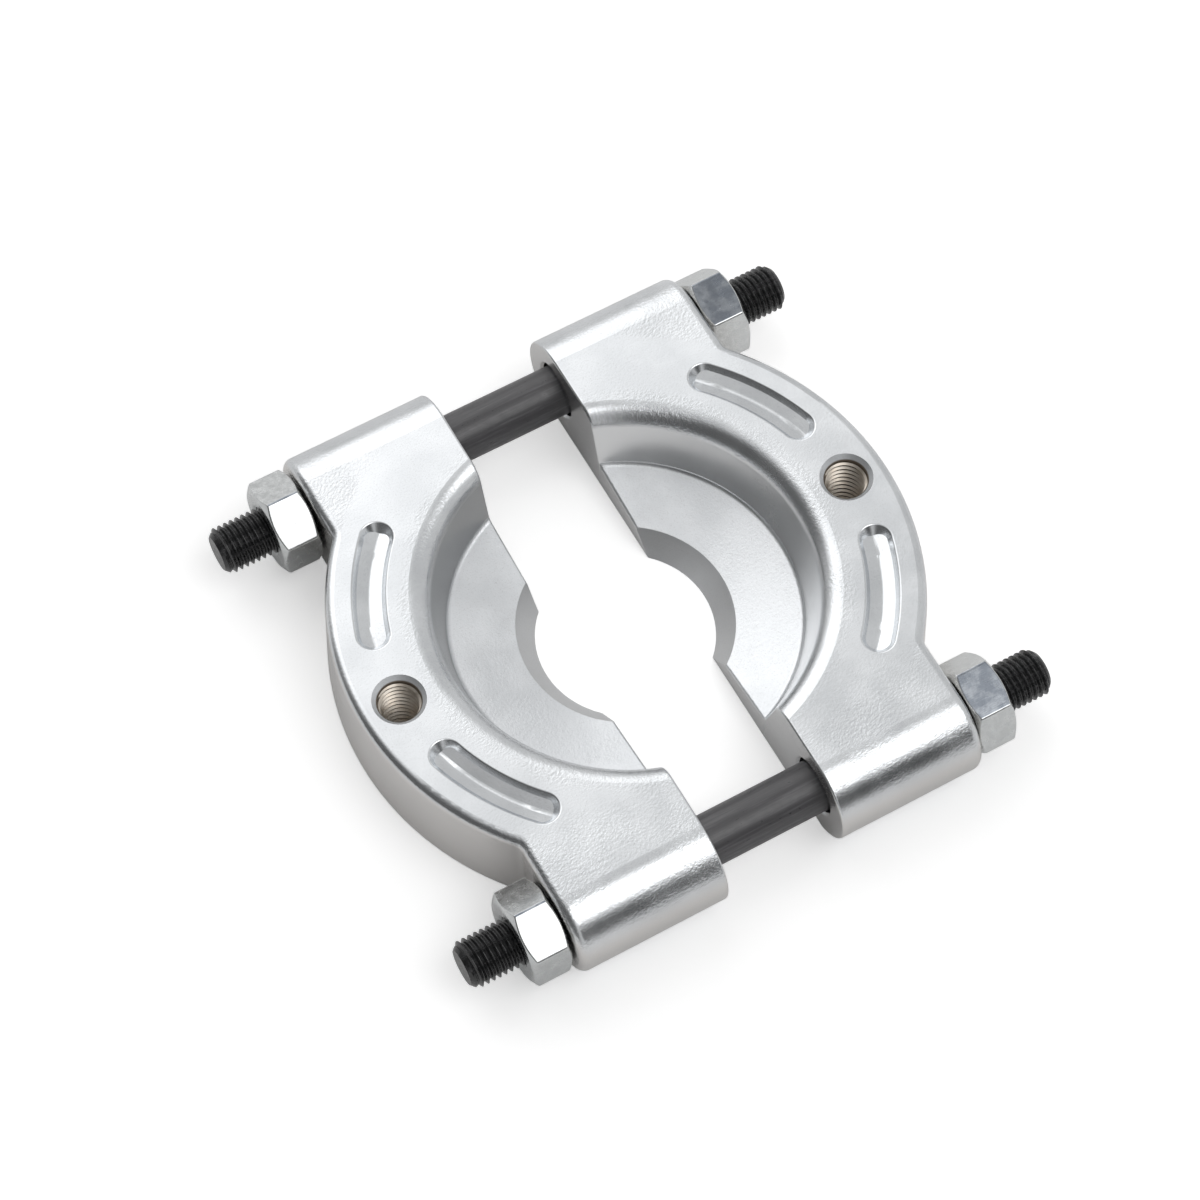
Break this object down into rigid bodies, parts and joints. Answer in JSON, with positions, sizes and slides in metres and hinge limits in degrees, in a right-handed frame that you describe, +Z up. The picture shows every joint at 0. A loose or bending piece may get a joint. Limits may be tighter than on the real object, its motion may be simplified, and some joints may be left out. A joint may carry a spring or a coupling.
{
  "type": "bearing separator",
  "caption": "Split bearing separator: two forged half-round jaws with a wedge-shaped ledge, clamped on a pair of threaded studs with hexagon nuts.",
  "frame": {"origin": "centre of the flat underside, midway between the two jaws and between the two studs", "axes": "+X along the studs, towards the right jaw; +Y towards the rear stud; +Z up through the opening, out of the recessed side"},
  "size_m": [0.127, 0.1226, 0.02],
  "materials": {
    "jaw": "satin plated forging, finely blasted, with machined faces",
    "stud": "black oxide, satin shank and rolled thread",
    "nut": "bright zinc plate"
  },
  "bodies": {
    "studs": {"rear_stud": "stud", "front_stud": "stud"},
    "left_jaw": {"left_jaw": "jaw"},
    "right_jaw": {"right_jaw": "jaw"},
    "rear_left_nut": {"rear_left_nut": "nut"},
    "front_left_nut": {"front_left_nut": "nut"},
    "rear_right_nut": {"rear_right_nut": "nut"},
    "front_right_nut": {"front_right_nut": "nut"}
  },
  "joints": [
    {"name": "left_jaw_slide", "type": "slide", "parent": "studs", "child": "left_jaw", "axis": [1, 0, 0], "range_m": [-0.01, 0.0123]},
    {"name": "right_jaw_slide", "type": "slide", "parent": "studs", "child": "right_jaw", "axis": [-1, 0, 0], "range_m": [-0.01, 0.0123]},
    {"name": "rear_left_nut_turn", "type": "hinge", "parent": "left_jaw", "child": "rear_left_nut", "pos_m": [-0.0444, 0.05025, 0.01], "axis": [1, 0, 0], "range_deg": [-2885, 3547]},
    {"name": "front_left_nut_turn", "type": "hinge", "parent": "left_jaw", "child": "front_left_nut", "pos_m": [-0.0444, -0.05025, 0.01], "axis": [1, 0, 0], "range_deg": [-2885, 3547]},
    {"name": "rear_right_nut_turn", "type": "hinge", "parent": "right_jaw", "child": "rear_right_nut", "pos_m": [0.0444, 0.05025, 0.01], "axis": [-1, 0, 0], "range_deg": [-2885, 3547]},
    {"name": "front_right_nut_turn", "type": "hinge", "parent": "right_jaw", "child": "front_right_nut", "pos_m": [0.0444, -0.05025, 0.01], "axis": [-1, 0, 0], "range_deg": [-2885, 3547]}
  ],
  "couplings": [
    {"joint": "rear_left_nut_turn", "follows": "left_jaw_slide", "rad_per_m": 5026.5},
    {"joint": "front_left_nut_turn", "follows": "left_jaw_slide", "rad_per_m": 5026.5},
    {"joint": "rear_right_nut_turn", "follows": "right_jaw_slide", "rad_per_m": 5026.5},
    {"joint": "front_right_nut_turn", "follows": "right_jaw_slide", "rad_per_m": 5026.5}
  ]
}
